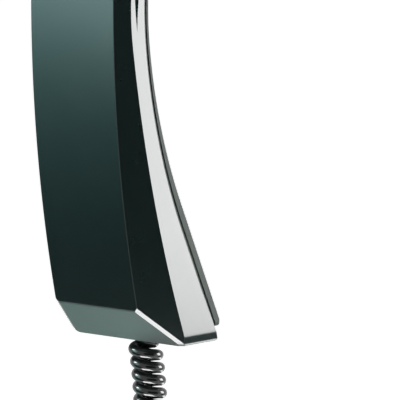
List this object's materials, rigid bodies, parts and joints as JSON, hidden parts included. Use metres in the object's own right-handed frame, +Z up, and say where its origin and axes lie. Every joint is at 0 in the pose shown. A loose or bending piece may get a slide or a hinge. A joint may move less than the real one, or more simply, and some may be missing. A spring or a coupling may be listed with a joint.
{
  "type": "audio intercom handset",
  "caption": "Black intercom handset with a bowed outer face, faceted sides and slanted ends, on a curly cord with a modular plug.",
  "frame": {"origin": "middle of the hanging slot's mouth in the ear side cover", "axes": "+Z up along the handset towards the ear end, +Y out of the ear side towards the wall, +X across the handset"},
  "size_m": [0.0484, 0.0444, 0.3739],
  "materials": {
    "housing": "polished black moulded plastic",
    "cover": "satin black moulded plastic",
    "cloth": "fine woven cloth",
    "foam": "open foam",
    "inner_plastic": "matte",
    "steel": "zinc plated",
    "magnet": "dull",
    "cone": "pressed film",
    "copper": "enamelled copper winding",
    "rubber": "matte",
    "can": "drawn aluminium",
    "weight": "raw steel",
    "board": "solder resist",
    "terminal": "moulded",
    "cord": "glossy PVC",
    "wire_red": "PVC",
    "wire_yellow": "PVC",
    "wire_blue": "PVC",
    "clear": "clear polycarbonate",
    "gold": "gold plated"
  },
  "bodies": {
    "handset": {"outer_shell": "housing", "inner_cover": "cover", "receiver_screen": "cloth", "receiver_gasket": "foam", "receiver_cup": "inner_plastic", "receiver_yoke": "steel", "receiver_magnet": "magnet", "receiver_pole": "steel", "microphone_boot": "rubber", "microphone_can": "can", "balance_weight": "weight", "wiring_board": "board", "board_screws": "steel", "terminal_block": "terminal", "cord_clamp": "inner_plastic", "clamp_screws": "steel", "cover_screws": "steel", "cord_grommet": "rubber", "cord_lead": "cord", "lead_wires": "wire_red", "receiver_wires": "wire_yellow", "microphone_wires": "wire_blue", "curly_cord": "cord", "plug_body": "clear", "plug_contacts": "gold"},
    "cone": {"receiver_cone": "cone", "receiver_coil": "copper"},
    "latch": {"plug_latch": "clear"}
  },
  "joints": [
    {"name": "cone_travel", "type": "slide", "parent": "handset", "child": "cone", "axis": [0, 0.9178, -0.3971], "range_m": [-0.0003, 0.0003], "stiffness_N_per_m": 300},
    {"name": "latch_press", "type": "hinge", "parent": "handset", "child": "latch", "pos_m": [0.00225, 0.00688, -0.31845], "axis": [-1, 0, 0], "range_deg": [0, 8], "stiffness_Nm_per_rad": 0.03}
  ]
}
